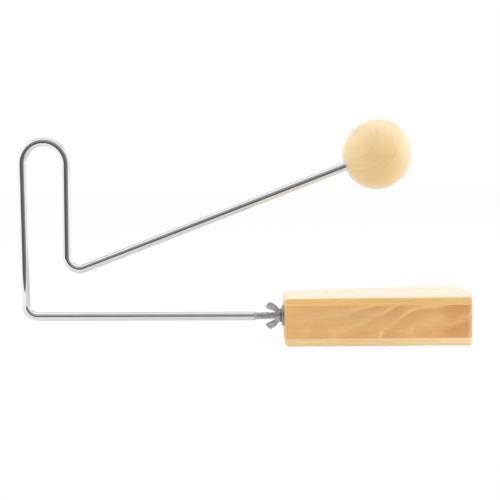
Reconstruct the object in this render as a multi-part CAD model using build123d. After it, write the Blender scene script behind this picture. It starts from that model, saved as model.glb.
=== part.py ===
from build123d import *
import math
import os

# A vibraslap: a bent spring steel rod joins a wooden ball to a flared wooden sound box.
# Loose steel rivets hang in a plate inside the box and rattle when the ball is struck.
# The origin is the middle of the box's underside, +X runs to the box's open mouth, +Z is up.
# All sizes are in millimetres.

# Sound box, outside. Its length is that of the sides, and the mouth end bows out past them.
BOX_LENGTH = 144.0
BOX_HEIGHT = 38.0
NARROW_WIDTH = 39.5
MOUTH_WIDTH = 60.0
MOUTH_BOW = 4.2
NARROW_ROUND = 3.0
MOUTH_CORNER_ROUND = 2.8
RIM_ROUND = 1.0

# Boards that the box is glued up from
LID_THICKNESS = 6.2
SIDE_THICKNESS = 6.0
END_BLOCK_LENGTH = 20.0
MOUTH_CHAMFER = 1.0

# Rod: a lower run out of the box, a loop for the hand, and an upper run to the ball.
# Rises are above the axis of the rod's thread, leans and the slope are in degrees.
ROD_DIAMETER = 7.0
AXIS_ABOVE_MIDDLE = 2.4
LOWER_RUN = 207.9
ELBOW_RISE = 3.75
ELBOW_RADIUS = 10.0
OUTER_LEG_LEAN = 1.5
LOOP_RADIUS = 17.4
LOOP_RISE = 143.1
INNER_LEG_LEAN = 2.1
VEE_RADIUS = 10.0
VEE_RISE = 37.0
UPPER_RUN = 265.3
UPPER_SLOPE = 19.93
SET_BEND_RADIUS = 100.0
SET_BEND_FROM_SHOULDER = 2.4
ROD_END_CHAMFER = 0.5

# Screw thread on the rod's box end, drawn plain at its full diameter, with a tapered shoulder
THREAD_DIAMETER = 6.0
THREAD_OUTSIDE = 22.7
SHOULDER_LENGTH = 1.6
THREAD_PAST_NUT = 2.0
THREAD_CLEARANCE = 0.1

# Ball
BALL_DIAMETER = 55.8
BALL_FLAT_DIAMETER = 18.5
ROD_IN_BALL = 30.0
BALL_BORE_SPARE = 1.0
BALL_MOUTH_CHAMFER = 0.6
GLUE_GAP = 0.05

# Washers and wing nut that lock the box on the rod
WASHER_DIAMETER = 16.6
WASHER_THICKNESS = 1.6
WASHER_EDGE_ROUND = 0.3
LOCK_WASHER_DIAMETER = 11.0
LOCK_WASHER_THICKNESS = 1.6
LOCK_WASHER_SLIT = 1.2
LOCK_WASHER_SLANT = 20.0
LOCK_WASHER_TURN = 140.0
HUB_BASE_WALL = 2.2
HUB_TOP_WALL = 1.5
HUB_HEIGHT = 3.8
WING_SPAN = 24.8
WING_HEIGHT = 12.4
WING_TIP_WIDTH = 5.9
WING_TIP_LEAN = 45.0
WING_TIP_ROUND = 1.6
WING_THICKNESS = 2.6
WING_EDGE_ROUND = 0.6
WING_ROOT_HEIGHT = 0.6
WING_BULGE = 1.1
WING_TURN = -20.0

# Tee nut driven into the inner face of the end block
TEE_BARREL_WALL = 0.9
TEE_BARREL_LENGTH = 8.0
TEE_FLANGE_DIAMETER = 16.0
TEE_FLANGE_THICKNESS = 1.2
PRONG_COUNT = 4
PRONG_LENGTH = 5.0
PRONG_WIDTH = 2.6
PRONG_THICKNESS = 1.2
END_BLOCK_BORE_GAP = 0.4

# Rattle plate, caught in grooves in the two side boards
PLATE_THICKNESS = 1.5
PLATE_BLOCK_GAP = 7.0
PLATE_MOUTH_SETBACK = 15.0
GROOVE_DEPTH = 2.0
GROOVE_CLEARANCE = 0.15

# Loose rivets in two rows that splay with the box
RIVETS_PER_ROW = 5
RIVET_END_MARGIN = 11.0
RIVET_SIDE_MARGIN = 8.5
RIVET_SHANK_DIAMETER = 4.0
RIVET_HOLE_PLAY = 0.8
RIVET_HEAD_OVERHANG = 1.7
RIVET_HEAD_HEIGHT = 2.6
RIVET_TAIL_OVERHANG = 0.8
RIVET_TAIL_THICKNESS = 1.2
RIVET_FLOOR_GAP = 1.5

# Places worked out from the sizes above
NARROW_X = -BOX_LENGTH / 2
MOUTH_X = BOX_LENGTH / 2
MIDDLE_Z = BOX_HEIGHT / 2
AXIS_Z = MIDDLE_Z + AXIS_ABOVE_MIDDLE
CEILING_Z = BOX_HEIGHT - LID_THICKNESS
BLOCK_INNER_X = NARROW_X + END_BLOCK_LENGTH
PLATE_START_X = BLOCK_INNER_X + PLATE_BLOCK_GAP
PLATE_END_X = MOUTH_X - PLATE_MOUTH_SETBACK
PLATE_TOP_Z = MIDDLE_Z + PLATE_THICKNESS / 2
PLATE_BOTTOM_Z = MIDDLE_Z - PLATE_THICKNESS / 2
THREAD_RADIUS = THREAD_DIAMETER / 2
THREAD_START_X = NARROW_X - THREAD_OUTSIDE
SHOULDER_X = THREAD_START_X - SHOULDER_LENGTH
THREAD_END_X = BLOCK_INNER_X + TEE_FLANGE_THICKNESS + THREAD_PAST_NUT
THREADED_BORE_RADIUS = THREAD_RADIUS + THREAD_CLEARANCE
LOOSE_BORE_RADIUS = THREADED_BORE_RADIUS + THREAD_CLEARANCE
TEE_BARREL_RADIUS = THREADED_BORE_RADIUS + TEE_BARREL_WALL
LOCK_WASHER_X = NARROW_X - WASHER_THICKNESS
NUT_X = LOCK_WASHER_X - LOCK_WASHER_THICKNESS
BALL_FLAT_FROM_CENTRE = math.sqrt(BALL_DIAMETER ** 2 - BALL_FLAT_DIAMETER ** 2) / 2
RIVET_HOLE_RADIUS = (RIVET_SHANK_DIAMETER + RIVET_HOLE_PLAY) / 2

# Stands a shape on the origin
ON_BASE = (Align.CENTER, Align.CENTER, Align.MIN)


def half_width(x):
    """Outside half width of the box at x."""
    share = (x - NARROW_X) / BOX_LENGTH
    return (NARROW_WIDTH + (MOUTH_WIDTH - NARROW_WIDTH) * share) / 2


def inner_half_width(x):
    """Half width between the two side boards at x."""
    return half_width(x) - SIDE_THICKNESS


def slab(outline, bottom, top):
    """A plan outline raised between two heights."""
    face = make_face(Polyline(*outline, close=True))
    return Pos(0, 0, bottom) * extrude(face, amount=top - bottom, dir=(0, 0, 1))


def flared_slab(start, end, width_at, bottom, top):
    """A slab between two places along the box whose sides follow a half width."""
    outline = [
        (start, -width_at(start)),
        (end, -width_at(end)),
        (end, width_at(end)),
        (start, width_at(start)),
    ]
    return slab(outline, bottom, top)


def towards_mouth(shape, x):
    """Turns a shape built up +Z so that it points to +X on the rod's axis, starting at x."""
    return Pos(x, 0, AXIS_Z) * Rot(0, 90, 0) * shape


def towards_loop(shape, x):
    """Turns a shape built up +Z so that it points to -X on the rod's axis, starting at x."""
    return Pos(x, 0, AXIS_Z) * Rot(0, -90, 0) * shape


def rising_cylinder(radius, height):
    """A cylinder that stands on the origin."""
    return Cylinder(radius, height, align=ON_BASE)


# Rod


def bend(corner, before, after, radius):
    """Start, middle and end of the arc that rounds a corner of the rod's line."""
    arriving = (corner - before).normalized()
    leaving = (after - corner).normalized()
    half_turn = math.radians(arriving.get_angle(leaving)) / 2
    setback = radius * math.tan(half_turn)
    towards_centre = (leaving - arriving).normalized()
    middle = corner + towards_centre * radius * (1 / math.cos(half_turn) - 1)
    return corner - arriving * setback, middle, corner + leaving * setback


def slanting_up(degrees):
    """The direction up a leg that leans towards the box by some degrees."""
    lean = math.radians(degrees)
    return Vector(math.sin(lean), 0, math.cos(lean))


def rod_places():
    """Where the rod's centre line starts, turns and ends."""
    outer_up = slanting_up(OUTER_LEG_LEAN)
    inner_up = slanting_up(INNER_LEG_LEAN)
    outer_side = outer_up.cross(Vector(0, -1, 0))
    inner_side = inner_up.cross(Vector(0, -1, 0))
    shoulder = Vector(SHOULDER_X, 0, AXIS_Z)
    elbow = Vector(NARROW_X - LOWER_RUN, 0, AXIS_Z + ELBOW_RISE)
    beside_elbow = elbow + outer_side * LOOP_RADIUS
    to_centre = AXIS_Z + LOOP_RISE - LOOP_RADIUS - beside_elbow.Z
    centre = beside_elbow + outer_up * (to_centre / outer_up.Z)
    loop_end = centre + inner_side * LOOP_RADIUS
    to_vee = loop_end.Z - AXIS_Z - VEE_RISE
    vee = loop_end - inner_up * (to_vee / inner_up.Z)
    uphill = slanting_up(90 - UPPER_SLOPE)
    return {
        "shoulder": shoulder,
        "set_bend": shoulder - Vector(SET_BEND_FROM_SHOULDER, 0, 0),
        "elbow": elbow,
        "loop_start": centre - outer_side * LOOP_RADIUS,
        "loop_top": centre + Vector(0, 0, LOOP_RADIUS),
        "loop_end": loop_end,
        "vee": vee,
        "rod_end": vee + uphill * (UPPER_RUN - BALL_FLAT_FROM_CENTRE + ROD_IN_BALL),
        "ball": vee + uphill * UPPER_RUN,
    }


def rod_line():
    """The centre line of the plain rod, from the shoulder of its thread to its end in the ball."""
    at = rod_places()
    set_bend = bend(at["set_bend"], at["shoulder"], at["elbow"], SET_BEND_RADIUS)
    elbow = bend(at["elbow"], at["set_bend"], at["loop_start"], ELBOW_RADIUS)
    vee = bend(at["vee"], at["loop_end"], at["rod_end"], VEE_RADIUS)
    return Wire([
        Line(at["shoulder"], set_bend[0]),
        ThreePointArc(*set_bend),
        Line(set_bend[2], elbow[0]),
        ThreePointArc(*elbow),
        Line(elbow[2], at["loop_start"]),
        ThreePointArc(at["loop_start"], at["loop_top"], at["loop_end"]),
        Line(at["loop_end"], vee[0]),
        ThreePointArc(*vee),
        Line(vee[2], at["rod_end"]),
    ])


def make_rod():
    """The bent rod, tapered down to a threaded end that goes into the box."""
    line = rod_line()
    start = Plane(origin=line @ 0, z_dir=line % 0)
    bent = sweep(start * Circle(ROD_DIAMETER / 2), path=line)
    bent = chamfer(bent.faces().sort_by_distance(line @ 1)[0].edges(), ROD_END_CHAMFER)
    shoulder = Cone(ROD_DIAMETER / 2, THREAD_RADIUS, SHOULDER_LENGTH, align=ON_BASE)
    thread = rising_cylinder(THREAD_RADIUS, THREAD_END_X - THREAD_START_X)
    thread = chamfer(thread.faces().sort_by(Axis.Z)[-1].edges(), ROD_END_CHAMFER)
    return bent + towards_mouth(shoulder, SHOULDER_X) + towards_mouth(thread, THREAD_START_X)


def make_ball():
    """The ball, flattened where the rod enters and drilled along the upper run."""
    centre = rod_places()["ball"]
    bore_radius = ROD_DIAMETER / 2 + GLUE_GAP
    bore_depth = ROD_IN_BALL + BALL_BORE_SPARE
    flat_latitude = -math.degrees(math.acos(BALL_FLAT_DIAMETER / BALL_DIAMETER))
    bore = Pos(0, 0, -BALL_FLAT_FROM_CENTRE) * rising_cylinder(bore_radius, bore_depth)
    ball = Sphere(BALL_DIAMETER / 2, arc_size1=flat_latitude, align=None) - bore
    flat = ball.faces().filter_by(GeomType.PLANE).sort_by(Axis.Z)[0]
    ball = chamfer(flat.inner_wires()[0].edges(), BALL_MOUTH_CHAMFER)
    return Pos(centre) * Rot(0, 90 - UPPER_SLOPE, 0) * ball


# Lock


def make_washer():
    """The plain washer between the wing nut and the box."""
    hole = rising_cylinder(LOOSE_BORE_RADIUS, WASHER_THICKNESS)
    washer = rising_cylinder(WASHER_DIAMETER / 2, WASHER_THICKNESS)
    washer = fillet(washer.edges().filter_by(GeomType.CIRCLE), WASHER_EDGE_ROUND) - hole
    return towards_loop(washer, NARROW_X)


def make_lock_washer():
    """The split spring washer under the wing nut, flattened by it, with a slanting slit."""
    ring = rising_cylinder(LOCK_WASHER_DIAMETER / 2, LOCK_WASHER_THICKNESS)
    ring -= rising_cylinder(LOOSE_BORE_RADIUS, LOCK_WASHER_THICKNESS)
    from_middle = (Align.MIN, Align.CENTER, Align.CENTER)
    slit = Box(LOCK_WASHER_DIAMETER, LOCK_WASHER_SLIT, 2 * LOCK_WASHER_THICKNESS, align=from_middle)
    ring -= Pos(0, 0, LOCK_WASHER_THICKNESS / 2) * Rot(LOCK_WASHER_SLANT, 0, 0) * slit
    return towards_loop(Rot(0, 0, LOCK_WASHER_TURN) * ring, LOCK_WASHER_X)


def wing(base_radius):
    """One wing, standing on the hub's base in the XZ plane, with its tip out along +X."""
    lean = math.radians(WING_TIP_LEAN)
    tip_outer = (WING_SPAN / 2, WING_HEIGHT - WING_TIP_WIDTH * math.sin(lean))
    tip_inner = (WING_SPAN / 2 - WING_TIP_WIDTH * math.cos(lean), WING_HEIGHT)
    root_outer = (base_radius, WING_ROOT_HEIGHT)
    root_radius = ROD_DIAMETER / 2 + WING_EDGE_ROUND
    chord = Vector(*tip_outer) - Vector(*root_outer)
    bulge = (Vector(*root_outer) + Vector(*tip_outer)) / 2
    bulge += Vector(chord.Y, -chord.X).normalized() * WING_BULGE
    outline = Wire([
        ThreePointArc(root_outer, bulge, tip_outer),
        Line(tip_outer, tip_inner),
        Line(tip_inner, (root_radius, HUB_HEIGHT)),
        Line((root_radius, HUB_HEIGHT), (root_radius, WING_ROOT_HEIGHT)),
        Line((root_radius, WING_ROOT_HEIGHT), root_outer),
    ])
    face = make_face(outline)
    tip = face.vertices().sort_by_distance((WING_SPAN / 2, WING_HEIGHT))[:2]
    face = fillet(tip, WING_TIP_ROUND)
    blank = extrude(Plane.XZ * face, amount=WING_THICKNESS / 2, both=True)
    return fillet(blank.edges(), WING_EDGE_ROUND)


def make_wing_nut():
    """The wing nut: a tapered hub with two flared wings, turned a little on the thread."""
    base_radius = THREADED_BORE_RADIUS + HUB_BASE_WALL
    top_radius = THREADED_BORE_RADIUS + HUB_TOP_WALL
    nut = Cone(base_radius, top_radius, HUB_HEIGHT, align=ON_BASE)
    for half_turn in (0, 180):
        nut += Rot(0, 0, half_turn) * wing(base_radius)
    nut -= rising_cylinder(THREADED_BORE_RADIUS, HUB_HEIGHT)
    return towards_loop(Rot(0, 0, WING_TURN) * nut, NUT_X)


# Box


def box_envelope():
    """The outside of the whole box before it is hollowed. Its long edges are rounded on round the mouth."""
    narrow = half_width(NARROW_X)
    mouth = half_width(MOUTH_X)
    outline = Wire([
        Line((NARROW_X, narrow), (NARROW_X, -narrow)),
        Line((NARROW_X, -narrow), (MOUTH_X, -mouth)),
        ThreePointArc((MOUTH_X, -mouth), (MOUTH_X + MOUTH_BOW, 0), (MOUTH_X, mouth)),
        Line((MOUTH_X, mouth), (NARROW_X, narrow)),
    ])
    solid = extrude(make_face(outline), amount=BOX_HEIGHT, dir=(0, 0, 1))
    solid = fillet(solid.faces().sort_by(Axis.X)[0].edges(), NARROW_ROUND)
    mouth_corners = solid.faces().sort_by(Axis.X)[-1].edges().filter_by(Axis.Z)
    solid = fillet(mouth_corners, MOUTH_CORNER_ROUND)
    long_edges = [e for e in solid.edges() if e.bounding_box().size.X > BOX_LENGTH / 2]
    return fillet(long_edges, RIM_ROUND)


def inside(end):
    """What fills the box between its boards, from the narrow end to a place along it."""
    return flared_slab(NARROW_X, end, inner_half_width, LID_THICKNESS, CEILING_Z)


def box_shell(envelope):
    """The four boards as glued up, with the inner edge of the mouth chamfered."""
    shell = envelope - inside(MOUTH_X + 2 * MOUTH_BOW)
    mouth = shell.faces().sort_by(Axis.X)[-1]
    return chamfer(mouth.inner_wires()[0].edges(), MOUTH_CHAMFER)


def layer(bottom, top):
    """All that lies between two heights, as a slab larger than the box in plan."""
    return Pos(0, 0, bottom) * Box(2 * BOX_LENGTH, 2 * MOUTH_WIDTH, top - bottom, align=ON_BASE)


def make_lids(shell):
    """The bottom and top boards, which lie across the ends of the side boards."""
    return shell & layer(0, LID_THICKNESS), shell & layer(CEILING_Z, BOX_HEIGHT)


def groove_half_width(x):
    """Half width between the bottoms of the two grooves at x."""
    return inner_half_width(x) + GROOVE_DEPTH


def plate_grooves():
    """The two grooves as one slab across the box, a little larger than the rattle plate."""
    start = PLATE_START_X - GROOVE_CLEARANCE
    end = PLATE_END_X + GROOVE_CLEARANCE
    top = PLATE_TOP_Z + GROOVE_CLEARANCE
    return flared_slab(start, end, groove_half_width, PLATE_BOTTOM_Z, top)


def make_sides(shell):
    """The front and back boards, grooved on their inner faces for the rattle plate."""
    sides = (shell & layer(LID_THICKNESS, CEILING_Z)) - plate_grooves()
    front, back = sides.solids().sort_by(Axis.Y)
    return front, back


def tee_barrel():
    """The tee nut's barrel without its bore, standing on the flange."""
    return rising_cylinder(TEE_BARREL_RADIUS, TEE_BARREL_LENGTH)


def tee_prongs():
    """The pointed prongs round the flange, standing on it."""
    reach = TEE_FLANGE_DIAMETER / 2 - PRONG_THICKNESS
    point = make_face(Polyline((-PRONG_WIDTH / 2, 0), (PRONG_WIDTH / 2, 0), (0, PRONG_LENGTH), close=True))
    prong = Pos(0, -reach, 0) * extrude(Plane.XZ * point, amount=PRONG_THICKNESS)
    return [Rot(0, 0, 360 / PRONG_COUNT * (n + 0.5)) * prong for n in range(PRONG_COUNT)]


def make_tee_nut():
    """The tee nut: a threaded barrel with a pronged flange, barrel towards the rod."""
    flange = Pos(0, 0, -TEE_FLANGE_THICKNESS) * rising_cylinder(TEE_FLANGE_DIAMETER / 2, TEE_FLANGE_THICKNESS)
    nut = flange + tee_barrel() + tee_prongs()
    depth = TEE_BARREL_LENGTH + TEE_FLANGE_THICKNESS
    nut -= Pos(0, 0, -TEE_FLANGE_THICKNESS) * rising_cylinder(THREADED_BORE_RADIUS, depth)
    return towards_loop(nut, BLOCK_INNER_X)


def make_end_block(envelope):
    """The solid block that closes the narrow end, bored for the rod and the tee nut."""
    block = inside(BLOCK_INNER_X) & envelope
    bore = rising_cylinder(THREADED_BORE_RADIUS + END_BLOCK_BORE_GAP, END_BLOCK_LENGTH)
    block -= towards_loop(bore, BLOCK_INNER_X)
    for sunk in [tee_barrel(), *tee_prongs()]:
        block -= towards_loop(sunk, BLOCK_INNER_X)
    return block


# Rattle


def plate_half_width(x):
    """Half width of the rattle plate at x."""
    return groove_half_width(x) - GROOVE_CLEARANCE


def rivet_places():
    """Where the rivets hang, as (x, y), front row first."""
    first = PLATE_START_X + RIVET_END_MARGIN
    last = PLATE_END_X - RIVET_END_MARGIN
    step = (last - first) / (RIVETS_PER_ROW - 1)
    columns = [first + n * step for n in range(RIVETS_PER_ROW)]
    return [(x, side * (inner_half_width(x) - RIVET_SIDE_MARGIN)) for side in (-1, 1) for x in columns]


def make_rattle_plate():
    """The steel plate, holed for the rivets."""
    plate = flared_slab(PLATE_START_X, PLATE_END_X, plate_half_width, PLATE_BOTTOM_Z, PLATE_TOP_Z)
    hole = Pos(0, 0, PLATE_BOTTOM_Z) * rising_cylinder(RIVET_HOLE_RADIUS, PLATE_THICKNESS)
    return plate - [Pos(x, y, 0) * hole for x, y in rivet_places()]


def make_rivet():
    """One loose rivet, hanging by its domed head from the top of the plate."""
    shank = RIVET_SHANK_DIAMETER / 2
    head = RIVET_HOLE_RADIUS + RIVET_HEAD_OVERHANG
    tail = RIVET_HOLE_RADIUS + RIVET_TAIL_OVERHANG
    foot = LID_THICKNESS + RIVET_FLOOR_GAP
    shoulder = foot + RIVET_TAIL_THICKNESS
    crown = PLATE_TOP_Z + RIVET_HEAD_HEIGHT
    half_angle = math.atan(RIVET_HEAD_HEIGHT / head)
    dome_radius = head / math.sin(2 * half_angle)
    dome_middle = (
        dome_radius * math.sin(half_angle),
        crown - dome_radius * (1 - math.cos(half_angle)),
    )
    outline = Wire([
        Line((0, foot), (shank, foot)),
        Line((shank, foot), (tail, shoulder)),
        Line((tail, shoulder), (shank, shoulder)),
        Line((shank, shoulder), (shank, PLATE_TOP_Z)),
        Line((shank, PLATE_TOP_Z), (head, PLATE_TOP_Z)),
        ThreePointArc((head, PLATE_TOP_Z), dome_middle, (0, crown)),
        Line((0, crown), (0, foot)),
    ])
    return revolve(Plane.XZ * make_face(outline), Axis.Z)


def main():
    """Builds every piece and writes it to its own file."""
    envelope = box_envelope()
    shell = box_shell(envelope)
    bottom, top = make_lids(shell)
    front, back = make_sides(shell)
    pieces = {
        "rod": make_rod(),
        "ball": make_ball(),
        "washer": make_washer(),
        "lock_washer": make_lock_washer(),
        "wing_nut": make_wing_nut(),
        "top_board": top,
        "bottom_board": bottom,
        "front_board": front,
        "back_board": back,
        "end_block": make_end_block(envelope),
        "tee_nut": make_tee_nut(),
        "rattle_plate": make_rattle_plate(),
    }
    for number, (x, y) in enumerate(rivet_places(), start=1):
        pieces[f"rivet_{number:02d}"] = Pos(x, y, 0) * make_rivet()
    os.makedirs("parts", exist_ok=True)
    for name, piece in pieces.items():
        export_step(piece, f"parts/{name}.step")


main()
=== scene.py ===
import math

import bmesh
import bpy
from mathutils import Matrix, Vector


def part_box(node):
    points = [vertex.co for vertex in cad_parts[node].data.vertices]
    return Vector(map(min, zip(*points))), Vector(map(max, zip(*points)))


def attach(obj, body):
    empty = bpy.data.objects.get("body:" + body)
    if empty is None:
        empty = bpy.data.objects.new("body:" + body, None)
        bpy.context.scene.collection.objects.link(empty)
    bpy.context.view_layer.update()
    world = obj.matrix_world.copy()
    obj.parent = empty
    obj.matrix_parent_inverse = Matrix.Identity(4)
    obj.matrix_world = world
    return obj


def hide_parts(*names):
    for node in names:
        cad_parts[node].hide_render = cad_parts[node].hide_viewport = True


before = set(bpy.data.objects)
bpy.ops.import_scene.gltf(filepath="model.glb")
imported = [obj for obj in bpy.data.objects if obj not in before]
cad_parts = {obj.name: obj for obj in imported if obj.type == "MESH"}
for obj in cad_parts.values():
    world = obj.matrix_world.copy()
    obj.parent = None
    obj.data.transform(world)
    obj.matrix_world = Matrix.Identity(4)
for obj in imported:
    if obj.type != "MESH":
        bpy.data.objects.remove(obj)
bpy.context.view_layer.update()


# Rattle plate: a flared steel plate that slides into grooves in the two side boards.
# It is sheared and punched from cold rolled sheet, so faint rolling lines run along it.


def seen(red, green, blue):
    """A colour as the eye reads it, on a scale of 255, turned into linear light."""
    parts = [part / 255 for part in (red, green, blue)]
    return tuple(p / 12.92 if p <= 0.04045 else ((p + 0.055) / 1.055) ** 2.4 for p in parts)


def new_material(name):
    """A material with nodes, and its shader."""
    material = bpy.data.materials.new(name)
    material.use_nodes = True
    return material, material.node_tree.nodes["Principled BSDF"]


def add(tree, kind, inputs=None, **settings):
    """A new node. Each of its inputs takes a value, or is joined to another node's output."""
    made = tree.nodes.new(kind)
    for name, value in settings.items():
        setattr(made, name, value)
    for socket, source in (inputs or {}).items():
        if isinstance(source, bpy.types.NodeSocket):
            tree.links.new(source, made.inputs[socket])
        else:
            made.inputs[socket].default_value = source
    return made


def shades(tree, share, *stops):
    """The colour at a share from 0 to 1, between stops given as (place, colour)."""
    ramp = add(tree, "ShaderNodeValToRGB", {"Fac": share})
    elements = ramp.color_ramp.elements
    for element, (place, colour) in zip(elements, (stops[0], stops[-1])):
        element.position = place
        element.color = (*colour, 1)
    for place, colour in stops[1:-1]:
        elements.new(place).color = (*colour, 1)
    return ramp.outputs["Color"]


def spread(tree, value, start, end, low=0.0, high=1.0):
    """A value that runs smoothly from low to high while another runs from start to end."""
    inputs = {"Value": value, "From Min": start, "From Max": end, "To Min": low, "To Max": high}
    return add(tree, "ShaderNodeMapRange", inputs, interpolation_type="SMOOTHSTEP").outputs["Result"]


def on_piece(tree):
    """Places on the piece, in metres, which stay with it when it moves."""
    return add(tree, "ShaderNodeTexCoord").outputs["Object"]


def stretched_noise(tree, places, stretch, detail=2.0):
    """Noise with so many features to the metre along each axis."""
    mapped = add(tree, "ShaderNodeMapping", {"Vector": places, "Scale": stretch})
    inputs = {"Vector": mapped.outputs["Vector"], "Scale": 1.0, "Detail": detail}
    return add(tree, "ShaderNodeTexNoise", inputs).outputs["Fac"]


def roughen(tree, shader, height, depth, roughness):
    """Joins a height to the shader's bump, of so many metres, and to its roughness."""
    bump = add(tree, "ShaderNodeBump", {"Height": height, "Strength": 1.0, "Distance": depth})
    tree.links.new(bump.outputs["Normal"], shader.inputs["Normal"])
    tree.links.new(spread(tree, height, 0.25, 0.75, *roughness), shader.inputs["Roughness"])


def metal(name, bright, dull, roughness, patches, lines, depth):
    """A bare or plated metal: patches of two colours, with fine lines or grain in its surface."""
    material, shader = new_material(name)
    tree = material.node_tree
    places = on_piece(tree)
    patch = stretched_noise(tree, places, (patches,) * 3, detail=4.0)
    line = stretched_noise(tree, places, lines, detail=3.0)
    shader.inputs["Metallic"].default_value = 1.0
    tree.links.new(shades(tree, patch, (0.3, dull), (0.7, bright)), shader.inputs["Base Color"])
    roughen(tree, shader, line, depth, roughness)
    return material


def finish(piece, *materials):
    """Gives a piece its finishes, in place of any that it has."""
    piece.data.materials.clear()
    for material in materials:
        piece.data.materials.append(material)


plate_steel = metal(
    "plate steel",
    bright=seen(178, 178, 176),
    dull=seen(146, 145, 142),
    roughness=(0.28, 0.48),
    patches=60,
    lines=(90, 2500, 2500),
    depth=0.00004,
)
finish(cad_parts["rattle_plate"], plate_steel)


# Rivets: ten loose steel rivets with domed heads, dropped through the plate's holes.
# Their tails are spread a little, so that they can jump and rattle but not fall out.

rivet_steel = metal(
    "rivet steel",
    bright=seen(196, 192, 184),
    dull=seen(158, 152, 144),
    roughness=(0.22, 0.42),
    patches=400,
    lines=(2600, 2600, 2600),
    depth=0.000008,
)
for node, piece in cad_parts.items():
    if node.startswith("rivet_"):
        finish(piece, rivet_steel)


# Side boards: two boards of pale close-grained hardwood with the plate's grooves in their inner faces.
# Each is flat-sawn a little out of line with its log, so the growth rings show as long arches.
# They are glued between the lids, sanded flush with them and lacquered.

# Blender's rings pass through this many radians in one unit of length
WAVE_RATE = 20
WANDER_SCALE = 0.18
# How many features to the metre, along the log and across it
CLOUDS = (16, 40, 40)
CLEARINGS = (9, 70, 70)
STREAKS = (14, 330, 330)
FIBRES = (45, 1100, 1100)
PORES = (260, 3200, 3200)
FAINTEST_RINGS = 0.35
FIBRE_DEPTH = 0.00003
LACQUER_ROUGHNESS = 0.2


def tinted(tree, colour, *layers):
    """A colour multiplied by others."""
    for layer in layers:
        inputs = {"Factor": 1.0, 6: colour, 7: layer}
        colour = add(tree, "ShaderNodeMix", inputs, data_type="RGBA", blend_type="MULTIPLY").outputs[2]
    return colour


def grain_shades(tree, share, dark, light, strength):
    """Two shades to multiply a wood's colour by, each a share of its full strength away from none."""
    stops = [(place, [1 + (part - 1) * strength for part in shade]) for place, shade in (dark, light)]
    return shades(tree, share, *stops)


def log_wood(
    name, pale, body, late, heart, lean, ring, waver,
    grain=1.0, faint=None, tints=(), roughness=(0.36, 0.54), sheen=0.15,
):
    """Lacquered wood, cut from a log whose rings circle a leaning line through its heart.

    The rings can grow faint along the piece, between two places. A tint gives an axis, the place
    where it starts, the place where it is full, and a colour. The sheen is the pale bloom that fine
    fibres give at a slant.
    """
    material, shader = new_material(name)
    tree = material.node_tree
    places = on_piece(tree)
    parts = add(tree, "ShaderNodeSeparateXYZ", {"Vector": places}).outputs
    turned = {"Vector": places, "Location": heart, "Rotation": [math.radians(turn) for turn in lean]}
    log = add(tree, "ShaderNodeMapping", turned, vector_type="TEXTURE").outputs["Vector"]
    growth = {
        "Vector": log,
        "Scale": 2 * math.pi / (WAVE_RATE * ring),
        "Distortion": waver,
        "Detail Scale": WANDER_SCALE,
    }
    kind = {"wave_type": "RINGS", "rings_direction": "X", "wave_profile": "SAW"}
    rings = add(tree, "ShaderNodeTexWave", growth, **kind).outputs["Fac"]
    cloud = stretched_noise(tree, log, CLOUDS)
    clearing = stretched_noise(tree, log, CLEARINGS)
    streak = stretched_noise(tree, log, STREAKS, detail=3.0)
    fibre = stretched_noise(tree, log, FIBRES, detail=4.0)
    pore = stretched_noise(tree, log, PORES, detail=1.0)
    year = shades(tree, rings, (0.0, body), (0.1, pale), (0.35, body), (0.85, late), (1.0, body))
    clear = spread(tree, clearing, 0.38, 0.62, FAINTEST_RINGS, 1.0)
    if faint:
        along = spread(tree, parts["X"], *faint, FAINTEST_RINGS, 1.0)
        clear = add(tree, "ShaderNodeMath", {0: clear, 1: along}, operation="MULTIPLY").outputs[0]
    plain = {0: clear, 6: (*body, 1), 7: year}
    year = add(tree, "ShaderNodeMix", plain, data_type="RGBA").outputs[2]
    layers = [
        grain_shades(tree, cloud, (0.3, (0.93, 0.91, 0.88)), (0.7, (1.04, 1.05, 1.07)), grain),
        grain_shades(tree, streak, (0.3, (0.96, 0.95, 0.93)), (0.7, (1.03, 1.03, 1.04)), grain),
        grain_shades(tree, fibre, (0.3, (0.95, 0.94, 0.92)), (0.7, (1.03, 1.03, 1.03)), grain),
        grain_shades(tree, pore, (0.26, (0.84, 0.8, 0.76)), (0.35, (1, 1, 1)), grain),
    ]
    for axis, start, end, tint in tints:
        layers.append(shades(tree, spread(tree, parts[axis], start, end), (0.0, (1, 1, 1)), (1.0, tint)))
    tree.links.new(tinted(tree, year, *layers), shader.inputs["Base Color"])
    roughen(tree, shader, fibre, FIBRE_DEPTH, roughness)
    shader.inputs["Coat Weight"].default_value = 1.0
    shader.inputs["Coat Roughness"].default_value = LACQUER_ROUGHNESS
    shader.inputs["Sheen Weight"].default_value = sheen
    return material


SIDE_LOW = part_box("front_board")[0].z
SIDE_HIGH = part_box("front_board")[1].z
GLUE_LINE = 0.0004
LOWER_GLUE_STAIN = (0.86, 0.8, 0.74)
UPPER_GLUE_STAIN = (0.95, 0.93, 0.9)
glue_lines = [
    ("Z", SIDE_LOW + GLUE_LINE, SIDE_LOW, LOWER_GLUE_STAIN),
    ("Z", SIDE_HIGH - GLUE_LINE, SIDE_HIGH, UPPER_GLUE_STAIN),
]
# The boards' ends at the mouth are painted paler and whiter, a painted highlight where the rounded
# corner catches the light from the right.
painted_rim_highlight = ("X", 0.0682, 0.0698, (1.08, 1.22, 1.55))
pale_left = ("X", 0.015, -0.02, (1.02, 1.045, 1.05))
brown_middle = ("X", 0.0, 0.015, (0.985, 0.955, 0.915))
brown_right = ("X", 0.042, 0.060, (0.875, 0.79, 0.68))
front_wood = log_wood(
    "front board wood",
    pale=seen(236, 195, 131),
    body=seen(222, 172, 104),
    late=seen(214, 160, 91),
    heart=(0.072, 0.055, 0.003),
    lean=(0, 0, -9),
    ring=0.0028,
    waver=8.0,
    faint=(-0.06, 0.0),
    tints=[*glue_lines, pale_left, brown_middle, brown_right, painted_rim_highlight],
)
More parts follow.
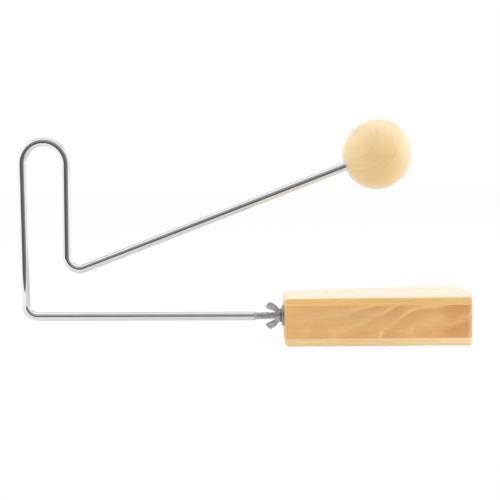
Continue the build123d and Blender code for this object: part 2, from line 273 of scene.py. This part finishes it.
finish(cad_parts["front_board"], front_wood)
back_wood = log_wood(
    "back board wood",
    pale=seen(232, 191, 126),
    body=seen(223, 174, 107),
    late=seen(215, 162, 96),
    heart=(0.0, -0.062, 0.028),
    lean=(0, 0, 8.5),
    ring=0.0024,
    waver=2.8,
    tints=[*glue_lines, painted_rim_highlight],
)
finish(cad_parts["back_board"], back_wood)


# Lids: the bottom and top boards, of the same wood, glued across the ends of the side boards.
# They are straight-grained, so fine level lines show along their edges.

LID_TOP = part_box("top_board")[1].z
LID_EDGE = 0.0006
# The top face of the top board is painted paler and whiter, a painted light where the lamp overhead
# falls on it.
painted_top_light = ("Z", LID_TOP - LID_EDGE, LID_TOP, (1.05, 1.22, 1.75))
# The bottom board is painted paler towards the right, a painted light where light from the right falls
# on it.
painted_light_right = ("X", -0.03, 0.07, (1.02, 1.05, 1.14))
bottom_wood = log_wood(
    "bottom board wood",
    pale=seen(243, 211, 153),
    body=seen(240, 206, 146),
    late=seen(236, 199, 137),
    heart=(0.0, 0.03, -0.16),
    lean=(0, 0.5, 0),
    ring=0.0024,
    waver=1.6,
    tints=[painted_light_right],
)
finish(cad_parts["bottom_board"], bottom_wood)
top_wood = log_wood(
    "top board wood",
    pale=seen(237, 195, 121),
    body=seen(233, 188, 112),
    late=seen(228, 180, 103),
    heart=(0.0, -0.02, -0.12),
    lean=(0, -0.6, 0),
    ring=0.0026,
    waver=1.6,
    tints=[painted_top_light],
    roughness=(0.16, 0.3),
)
finish(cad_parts["top_board"], top_wood)


# End block: a short block glued into the narrow end, bored for the rod and the tee nut.
# Its grain runs across the box, so that the tee nut's prongs don't split it.

block_wood = log_wood(
    "end block wood",
    pale=seen(230, 188, 124),
    body=seen(220, 171, 105),
    late=seen(210, 156, 92),
    heart=(-0.02, 0.0, -0.04),
    lean=(0, 0, 90),
    ring=0.0022,
    waver=2.0,
)
finish(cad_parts["end_block"], block_wood)


# Tee nut: a pronged steel nut driven into the inside of the end block, which the rod screws into.
# It is pressed from sheet and plated with yellow zinc.

tee_zinc = metal(
    "tee nut zinc",
    bright=seen(206, 200, 178),
    dull=seen(176, 170, 150),
    roughness=(0.24, 0.4),
    patches=300,
    lines=(1800, 1800, 1800),
    depth=0.000006,
)
finish(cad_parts["tee_nut"], tee_zinc)


# Rod: one length of spring steel rod, bent cold into a loop for the hand and a tight vee.
# One end has a rolled screw thread for the box, and the other goes into the ball.
# All of it is polished and chrome plated, more thinly on the thread.

# A hair thinner than the solid rod, so that it stays inside that one's box
ROD_RADIUS = 0.00349
ROD_SIDES = 64
LOWER_RUN = 0.2079
ELBOW_RISE = 0.00375
ELBOW_RADIUS = 0.010
OUTER_LEG_LEAN = 1.5
LOOP_RADIUS = 0.0174
LOOP_RISE = 0.1431
INNER_LEG_LEAN = 2.1
VEE_RADIUS = 0.010
VEE_RISE = 0.0370
UPPER_RUN = 0.2653
UPPER_SLOPE = 19.93
ROD_PAST_BALL_CENTRE = 0.0035
SET_BEND_RADIUS = 0.100
SET_BEND_FROM_SHOULDER = 0.0024
ROD_END_CHAMFER = 0.0005
BEND_STEP = math.radians(3)
THREAD_RADIUS = 0.0030
THREAD_PITCH = 0.001
THREAD_DEPTH = 0.0006
THREAD_OUTSIDE = 0.0227
THREAD_PAST_NUT = 0.0020
THREAD_RUN_OUT = 0.0014
CREST_WIDTH = 0.8
ROWS_PER_TURN = 12
SHOULDER_LENGTH = 0.0016

narrow_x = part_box("end_block")[0].x
axis_z = (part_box("washer")[0].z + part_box("washer")[1].z) / 2
thread_end_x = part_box("tee_nut")[1].x + THREAD_PAST_NUT
thread_start_x = narrow_x - THREAD_OUTSIDE


def up_leg(lean):
    """The direction up a leg that leans towards the box, as (x, z)."""
    return Vector((math.sin(math.radians(lean)), math.cos(math.radians(lean))))


def round_corner(before, corner, after, radius):
    """Points on the arc that rounds a corner of the rod's line."""
    arriving = (corner - before).normalized()
    leaving = (after - corner).normalized()
    turn = arriving.angle(leaving)
    inward = (leaving - arriving).normalized()
    along = (leaving + arriving).normalized()
    centre = corner + inward * radius / math.cos(turn / 2)
    steps = math.ceil(turn / BEND_STEP)
    swings = [turn * (step / steps - 0.5) for step in range(steps + 1)]
    return [centre + radius * (along * math.sin(swing) - inward * math.cos(swing)) for swing in swings]


outer_up = up_leg(OUTER_LEG_LEAN)
inner_up = up_leg(INNER_LEG_LEAN)
uphill = up_leg(90 - UPPER_SLOPE)
outer_side = Vector((outer_up.y, -outer_up.x))
inner_side = Vector((inner_up.y, -inner_up.x))
shoulder = Vector((thread_start_x - SHOULDER_LENGTH, axis_z))
set_bend = shoulder - Vector((SET_BEND_FROM_SHOULDER, 0))
elbow = Vector((narrow_x - LOWER_RUN, axis_z + ELBOW_RISE))
beside_elbow = elbow + outer_side * LOOP_RADIUS
leg_climb = (axis_z + LOOP_RISE - LOOP_RADIUS - beside_elbow.y) / outer_up.y
loop_centre = beside_elbow + outer_up * leg_climb
loop_end = loop_centre + inner_side * LOOP_RADIUS
vee = loop_end - inner_up * ((loop_end.y - axis_z - VEE_RISE) / inner_up.y)
ball_centre = vee + uphill * UPPER_RUN
rod_end = ball_centre + uphill * ROD_PAST_BALL_CENTRE


def loop_arc():
    """Points over the top of the loop, from the outer leg to the inner one."""
    first = math.atan2(-outer_side.y, -outer_side.x)
    last = math.atan2(inner_side.y, inner_side.x)
    steps = math.ceil((first - last) / BEND_STEP)
    turns = [first + (last - first) * step / steps for step in range(steps + 1)]
    return [loop_centre + LOOP_RADIUS * Vector((math.cos(turn), math.sin(turn))) for turn in turns]


def ring_round(middle, along, radii):
    """A ring of points square to the rod's line, with a radius for each."""
    across = Vector((-along.y, 0, along.x))
    ring = []
    for side, radius in enumerate(radii):
        turn = 2 * math.pi * side / len(radii)
        out = across * math.cos(turn) + Vector((0, 1, 0)) * math.sin(turn)
        ring.append(Vector((middle.x, 0, middle.y)) + out * radius)
    return ring


def thread_radii(along, length):
    """The thread's radii round one ring, so far from its start. The groove runs out at both ends."""
    fade = min(along / THREAD_RUN_OUT, (length - along) / THREAD_RUN_OUT, 1)
    turns = [2 * math.pi * side / ROD_SIDES for side in range(ROD_SIDES)]
    waves = [math.cos(2 * math.pi * along / THREAD_PITCH - turn) for turn in turns]
    grooves = [1 - min(max(0.5 + CREST_WIDTH * wave, 0), 1) for wave in waves]
    return [THREAD_RADIUS - THREAD_DEPTH * groove * fade for groove in grooves]


def thread_rings():
    """Rings along the thread, from its chamfered tip to the shoulder."""
    length = thread_end_x - thread_start_x
    rows = round(length / THREAD_PITCH * ROWS_PER_TURN)
    outward = Vector((-1, 0))
    tip = Vector((thread_end_x, axis_z))
    rings = [ring_round(tip, outward, [THREAD_RADIUS - ROD_END_CHAMFER] * ROD_SIDES)]
    for row in range(rows, -1, -1):
        along = (length - ROD_END_CHAMFER) * row / rows
        middle = Vector((thread_start_x + along, axis_z))
        rings.append(ring_round(middle, outward, thread_radii(along, length)))
    return rings


def plain_rings():
    """Rings along the plain rod, from the shoulder to a chamfered end in the ball."""
    loop_start = loop_centre - outer_side * LOOP_RADIUS
    line = [
        shoulder,
        *round_corner(shoulder, set_bend, elbow, SET_BEND_RADIUS),
        *round_corner(set_bend, elbow, loop_start, ELBOW_RADIUS),
        *loop_arc(),
        *round_corner(loop_end, vee, rod_end, VEE_RADIUS),
        rod_end - uphill * ROD_END_CHAMFER,
    ]
    rings = []
    for here, point in enumerate(line):
        back = (point - line[max(here - 1, 0)]).normalized()
        ahead = (line[min(here + 1, len(line) - 1)] - point).normalized()
        rings.append(ring_round(point, (back + ahead).normalized(), [ROD_RADIUS] * ROD_SIDES))
    rings.append(ring_round(rod_end, uphill, [ROD_RADIUS - ROD_END_CHAMFER] * ROD_SIDES))
    return rings


def skin(name, rings, crease):
    """A closed mesh object through rings that all have as many points."""
    count = len(rings[0])
    points = [point for ring in rings for point in ring]
    faces = []
    for row in range(len(rings) - 1):
        for side in range(count):
            here = row * count + side
            beside = row * count + (side + 1) % count
            faces.append((here, beside, beside + count, here + count))
    faces.append(tuple(range(count)))
    faces.append(tuple(range(len(points) - count, len(points))))
    mesh = bpy.data.meshes.new(name)
    mesh.from_pydata(points, [], faces)
    shape = bmesh.new()
    shape.from_mesh(mesh)
    bmesh.ops.recalc_face_normals(shape, faces=shape.faces)
    shape.to_mesh(mesh)
    shape.free()
    mesh.shade_smooth()
    mesh.set_sharp_from_angle(angle=math.radians(crease))
    made = bpy.data.objects.new(name, mesh)
    bpy.context.scene.collection.objects.link(made)
    return made


chrome = metal(
    "chrome plate",
    bright=seen(246, 247, 248),
    dull=seen(240, 241, 243),
    roughness=(0.03, 0.08),
    patches=90,
    lines=(500, 500, 500),
    depth=0.000002,
)
thread_steel = metal(
    "plated thread",
    bright=seen(236, 236, 237),
    dull=seen(206, 206, 207),
    roughness=(0.42, 0.6),
    patches=700,
    lines=(1500, 1500, 1500),
    depth=0.00001,
)
threaded = thread_rings()
rod = skin("bent_rod", [*threaded, *plain_rings()], crease=35)
finish(rod, chrome, thread_steel)
for face in list(rod.data.polygons)[: len(threaded) * ROD_SIDES]:
    face.material_index = 1
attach(rod, "rod")
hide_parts("rod")


# Washers: a plain washer against the box and a split spring washer under the wing nut.
# Both are blanked or wound from steel and plated with dull grey zinc.

washer_steel = metal(
    "washer steel",
    bright=seen(200, 202, 204),
    dull=seen(176, 178, 180),
    roughness=(0.3, 0.5),
    patches=500,
    lines=(1500, 1500, 1500),
    depth=0.00002,
)
finish(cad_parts["washer"], washer_steel)
spring_steel = metal(
    "spring washer steel",
    bright=seen(164, 165, 166),
    dull=seen(138, 139, 140),
    roughness=(0.3, 0.5),
    patches=600,
    lines=(1500, 1500, 1500),
    depth=0.00002,
)
finish(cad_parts["lock_washer"], spring_steel)


# Wing nut: a cast zinc nut with two flared wings for the fingers, which locks the box on the rod.
# Casting leaves its corners soft and its skin a little grainy.

CASTING_VOXEL = 0.0002
CASTING_SMOOTHING = 8


def cast_copy(name, node):
    """A copy of a node's shape with its corners and joints softened as casting leaves them."""
    made = bpy.data.objects.new(name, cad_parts[node].data.copy())
    bpy.context.scene.collection.objects.link(made)
    remesh = made.modifiers.new("even skin", "REMESH")
    remesh.mode = "VOXEL"
    remesh.voxel_size = CASTING_VOXEL
    soften = made.modifiers.new("soft corners", "SMOOTH")
    soften.iterations = CASTING_SMOOTHING
    shaped = made.evaluated_get(bpy.context.evaluated_depsgraph_get())
    mesh = bpy.data.meshes.new_from_object(shaped)
    made.modifiers.clear()
    made.data = mesh
    mesh.shade_smooth()
    return made


cast_zinc = metal(
    "cast zinc",
    bright=seen(212, 213, 214),
    dull=seen(186, 187, 188),
    roughness=(0.4, 0.6),
    patches=400,
    lines=(1100, 1100, 1100),
    depth=0.00006,
)
wing_nut = cast_copy("cast_wing_nut", "wing_nut")
finish(wing_nut, cast_zinc)
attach(wing_nut, "wing_nut")
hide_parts("wing_nut")


# Ball: turned from pale cream hardwood, with a flat where it is drilled and glued on the rod.
# Sanding by hand has left it a little out of round. It has the same satin lacquer as the box.

BALL_RADIUS = 0.0279
BALL_FLAT_RADIUS = 0.00925
BALL_FLAT_ROUND = 0.0004
BORE_RADIUS = 0.00355
BORE_DEPTH = 0.031
BORE_CHAMFER = 0.0006
BALL_SIDES = 128
BALL_ROWS = 72
# Each sanded patch faces so many degrees up from +X, and is so deep at its middle
SANDED_PATCHES = [(107, 0.0011), (14, 0.0008), (305, 0.0008)]
SANDED_BLEND = 0.0016


def sanded_radius(out):
    """How far the ball's skin lies from its centre in a direction, with its sanded patches."""
    radius = BALL_RADIUS
    for turn, depth in SANDED_PATCHES:
        facing = out.x * math.cos(math.radians(turn)) + out.z * math.sin(math.radians(turn))
        if facing > 0:
            patch = (BALL_RADIUS - depth) / facing
            mix = min(max(0.5 + (patch - radius) / (2 * SANDED_BLEND), 0), 1)
            radius = patch + (radius - patch) * mix - SANDED_BLEND * mix * (1 - mix)
    return radius


def ball_rings():
    """Rings from the bottom of the bore, out over the flat, and round to the far pole."""
    centre = Vector((ball_centre.x, 0, ball_centre.y))
    along = Vector((uphill.x, 0, uphill.y))
    across = Vector((-uphill.y, 0, uphill.x))
    flat = math.sqrt(BALL_RADIUS ** 2 - BALL_FLAT_RADIUS ** 2)
    profile = [
        (BORE_DEPTH - flat, BORE_RADIUS),
        (BORE_CHAMFER - flat, BORE_RADIUS),
        (-flat, BORE_RADIUS + BORE_CHAMFER),
        (-flat, BALL_FLAT_RADIUS - BALL_FLAT_ROUND),
    ]
    first = math.asin(BALL_FLAT_RADIUS / BALL_RADIUS) + BALL_FLAT_ROUND / BALL_RADIUS
    last = math.pi - 0.5 * math.pi / BALL_ROWS
    rings = []
    turns = [2 * math.pi * side / BALL_SIDES for side in range(BALL_SIDES)]
    sides = [across * math.cos(turn) + Vector((0, 1, 0)) * math.sin(turn) for turn in turns]
    for height, radius in profile:
        rings.append([centre + along * height + side * radius for side in sides])
    for row in range(BALL_ROWS):
        swing = first + (last - first) * row / (BALL_ROWS - 1)
        outs = [side * math.sin(swing) - along * math.cos(swing) for side in sides]
        rings.append([centre + out * sanded_radius(out) for out in outs])
    return rings


# The ball's top and right side are painted less yellow, a painted light where the lamps fall, and its
# foot more golden, a painted shade.
painted_ball_top_light = ("Z", ball_centre.y + 0.004, ball_centre.y + 0.024, (0.9, 0.95, 1.0))
painted_ball_right_light = ("X", ball_centre.x + 0.008, ball_centre.x + 0.024, (0.95, 1.0, 1.14))
painted_ball_foot_shade = ("Z", ball_centre.y + 0.004, ball_centre.y - 0.016, (0.97, 0.93, 0.78))
ball_wood = log_wood(
    "ball wood",
    pale=seen(243, 210, 151),
    body=seen(241, 206, 146),
    late=seen(239, 203, 141),
    heart=(ball_centre.x + 0.05, 0.03, ball_centre.y),
    lean=(20, -60, 15),
    ring=0.0034,
    waver=3.0,
    grain=0.4,
    tints=[painted_ball_top_light, painted_ball_right_light, painted_ball_foot_shade],
    sheen=0.9,
)
ball = skin("turned_ball", ball_rings(), crease=30)
finish(ball, ball_wood)
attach(ball, "rod")
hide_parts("ball")


# Floor and room: a white table in front of a white wall, which the metal shows as white too.
# The room behind the camera is dim, which gives the chrome its dark middle.
# None of it is part of the object.

WHITE = (1, 1, 1, 1)
FLOOR_LEFT = -2.5
FLOOR_RIGHT = 2.5
FLOOR_FRONT = -0.3
FLOOR_BACK = 3.0
FLOOR_COLOUR = (0.85, 0.85, 0.85, 1)
FLOOR_GLOW = 0.95
NEAR_FLOOR = 0.15
NEAR_FLOOR_SHADE = 0.72
FAR_FLOOR = 0.5


def passed_on(tree, path):
    """One for rays that a mirror or glass passes on, and nought for the rest."""
    either = {0: path["Is Glossy Ray"], 1: path["Is Transmission Ray"]}
    return add(tree, "ShaderNodeMath", either, operation="MAXIMUM").outputs[0]


floor_corners = [
    (FLOOR_LEFT, FLOOR_FRONT, 0),
    (FLOOR_RIGHT, FLOOR_FRONT, 0),
    (FLOOR_RIGHT, FLOOR_BACK, 0),
    (FLOOR_LEFT, FLOOR_BACK, 0),
]
floor_mesh = bpy.data.meshes.new("floor")
floor_mesh.from_pydata(floor_corners, [], [(0, 1, 2, 3)])
floor = bpy.data.objects.new("floor", floor_mesh)
bpy.context.scene.collection.objects.link(floor)
floor_white, floor_shader = new_material("floor white")
floor_shader.inputs["Base Color"].default_value = FLOOR_COLOUR
floor_shader.inputs["Roughness"].default_value = 1.0
floor_shader.inputs["Specular IOR Level"].default_value = 0.0
tree = floor_white.node_tree
path = add(tree, "ShaderNodeLightPath").outputs
away = add(tree, "ShaderNodeVectorMath", {0: on_piece(tree)}, operation="LENGTH").outputs["Value"]
shade = spread(tree, away, NEAR_FLOOR, FAR_FLOOR, NEAR_FLOOR_SHADE, 1.0)
shade = add(tree, "ShaderNodeMath", {0: path["Is Camera Ray"], 1: shade}, operation="MAXIMUM").outputs[0]
glow = add(tree, "ShaderNodeEmission", {"Color": WHITE, "Strength": shade}).outputs[0]
shown = {0: path["Is Camera Ray"], 1: FLOOR_GLOW, 2: passed_on(tree, path)}
shown = add(tree, "ShaderNodeMath", shown, operation="MULTIPLY_ADD").outputs[0]
mix = add(tree, "ShaderNodeMixShader", {0: shown, 1: floor_shader.outputs[0], 2: glow})
tree.links.new(mix.outputs[0], tree.nodes["Material Output"].inputs["Surface"])
finish(floor, floor_white)


def grey(level):
    """A grey of some linear brightness."""
    return (level, level, level)


world = bpy.data.worlds.new("white room")
bpy.context.scene.world = world
world.use_nodes = True
tree = world.node_tree
way = add(tree, "ShaderNodeTexCoord").outputs["Generated"]
parts = add(tree, "ShaderNodeSeparateXYZ", {0: way}).outputs
to_camera = add(tree, "ShaderNodeMath", {0: parts["Y"], 1: -1.0}, operation="MULTIPLY").outputs[0]
bearing = add(tree, "ShaderNodeMath", {0: parts["X"], 1: to_camera}, operation="ARCTAN2").outputs[0]
# Bearings go from 0 at the wall by the left side to 0.5 at the camera, and on by the right side to 1
around = {"Value": bearing, "From Min": -math.pi, "From Max": math.pi}
around = add(tree, "ShaderNodeMapRange", around).outputs["Result"]
# Heights go from 0 straight down to 0.5 at the horizon and 1 straight up
height = {"Value": parts["Z"], "From Min": -1.0, "From Max": 1.0}
height = add(tree, "ShaderNodeMapRange", height).outputs["Result"]
in_front = shades(
    tree,
    around,
    (0.345, grey(0)),
    (0.365, grey(1)),
    (0.5, grey(1)),
    (0.63, grey(0.8)),
    (0.69, grey(0)),
)
behind = shades(tree, around, (0.14, grey(1)), (0.18, grey(0)), (0.82, grey(0)), (0.86, grey(1)))
dim_room = shades(
    tree,
    height,
    (0.0, grey(0.08)),
    (0.5, grey(0.11)),
    (0.6, grey(0.15)),
    (0.705, grey(0.23)),
    (0.895, grey(0.4)),
    (0.985, grey(0.7)),
    (1.0, grey(0.9)),
)
# The wall is white from the table up, but for a dark beam high over the view
wall = shades(
    tree,
    height,
    (0.0, grey(0.15)),
    (0.44, grey(0.2)),
    (0.46, grey(1)),
    (0.76, grey(1)),
    (0.79, grey(0.2)),
    (0.87, grey(0.2)),
    (0.9, grey(1)),
)
room = add(tree, "ShaderNodeMix", {0: in_front, 6: WHITE, 7: dim_room}, data_type="RGBA").outputs[2]
room = add(tree, "ShaderNodeMix", {0: behind, 6: room, 7: wall}, data_type="RGBA").outputs[2]
camera_ray = add(tree, "ShaderNodeLightPath").outputs["Is Camera Ray"]
backdrop = {0: camera_ray, 6: room, 7: WHITE}
backdrop = add(tree, "ShaderNodeMix", backdrop, data_type="RGBA").outputs[2]
tree.links.new(backdrop, tree.nodes["Background"].inputs["Color"])


def soft_lamp(name, place, aim, size, power):
    """A square lamp that faces a point, left out of mirror reflections."""
    lamp = bpy.data.lights.new(name, "AREA")
    lamp.size = size
    lamp.energy = power
    made = bpy.data.objects.new(name, lamp)
    made.location = place
    made.rotation_euler = (Vector(aim) - Vector(place)).to_track_quat("-Z", "Y").to_euler()
    made.visible_glossy = False
    bpy.context.scene.collection.objects.link(made)


soft_lamp("overhead lamp", place=(0.1, 0.1, 1.4), aim=(-0.05, 0, 0.05), size=1.6, power=10.6)
soft_lamp("front lamp", place=(0.1, -1.6, 0.9), aim=(-0.05, 0, 0.08), size=1.2, power=11.5)
soft_lamp("right lamp", place=(1.3, 0.0, 0.3), aim=(0.05, 0, 0.1), size=0.7, power=5.2)
soft_lamp("left lamp", place=(-1.3, -0.5, 0.4), aim=(-0.05, 0, 0.05), size=0.7, power=1.5)


# Camera: a little lower than the loop's top, close in front of the object and tilted a little down.
# Its place and lens come from the box's corners and the rod's runs.

CAMERA_PLACE = (-0.0963, -0.6522, 0.1477)
CAMERA_TURN = 0.156
CAMERA_DIP = 6.36
CAMERA_ROLL = -1.39
CAMERA_LENS = 59.04
CAMERA_SENSOR = 36.0

view = bpy.data.cameras.new("camera")
view.lens = CAMERA_LENS
view.sensor_width = CAMERA_SENSOR
camera = bpy.data.objects.new("camera", view)
camera.matrix_world = (
    Matrix.Translation(CAMERA_PLACE)
    @ Matrix.Rotation(math.radians(CAMERA_TURN), 4, "Z")
    @ Matrix.Rotation(math.radians(90 - CAMERA_DIP), 4, "X")
    @ Matrix.Rotation(math.radians(CAMERA_ROLL), 4, "Z")
)
bpy.context.scene.collection.objects.link(camera)
bpy.context.scene.camera = camera
bpy.context.scene.view_settings.view_transform = "Standard"
